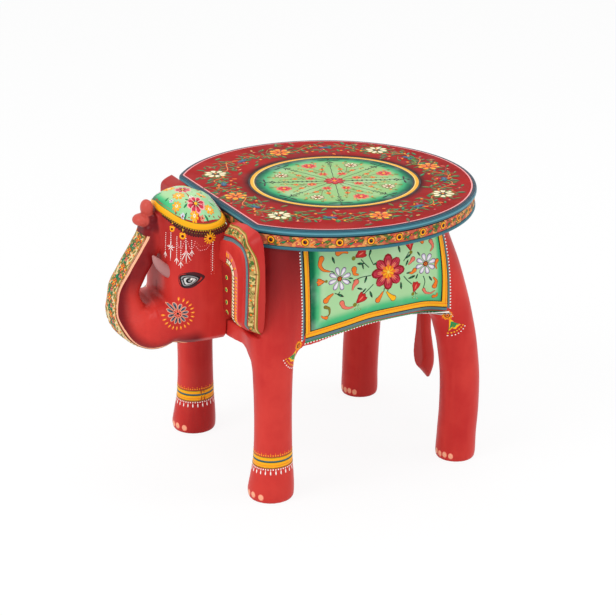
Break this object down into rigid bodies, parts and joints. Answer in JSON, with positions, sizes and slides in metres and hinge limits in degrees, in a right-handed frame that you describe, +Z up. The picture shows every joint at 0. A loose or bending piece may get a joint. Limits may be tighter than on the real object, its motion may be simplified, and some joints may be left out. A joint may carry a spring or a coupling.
{
  "type": "carved elephant stool",
  "caption": "Low carved wooden stool in the shape of an elephant with raised trunk, with a round painted seat on its back and hand-painted floral ornament.",
  "frame": {"origin": "middle of the stool's footprint, on the floor", "axes": "+Z up, the elephant faces -Y, its left side is +X"},
  "size_m": [0.3212, 0.4108, 0.316],
  "materials": {
    "red_painted_wood": "glossy lacquer over hand paint",
    "seat_painted_wood": "glossy lacquer over hand paint",
    "tusk_painted_wood": "satin paint",
    "bare_wood": "bare dowel wood"
  },
  "bodies": {
    "root": {"torso": "red_painted_wood", "front_leg_left": "red_painted_wood", "front_leg_right": "red_painted_wood", "rear_leg_left": "red_painted_wood", "rear_leg_right": "red_painted_wood", "head": "red_painted_wood", "trunk": "red_painted_wood", "ear_left": "red_painted_wood", "ear_right": "red_painted_wood", "tail": "red_painted_wood", "seat_board": "seat_painted_wood", "tusk_left": "tusk_painted_wood", "tusk_right": "tusk_painted_wood", "seat_dowels": "bare_wood", "leg_dowels": "bare_wood", "ear_dowels": "bare_wood", "head_dowels": "bare_wood", "trunk_dowels": "bare_wood", "tail_dowel": "bare_wood"}
  },
  "joints": []
}
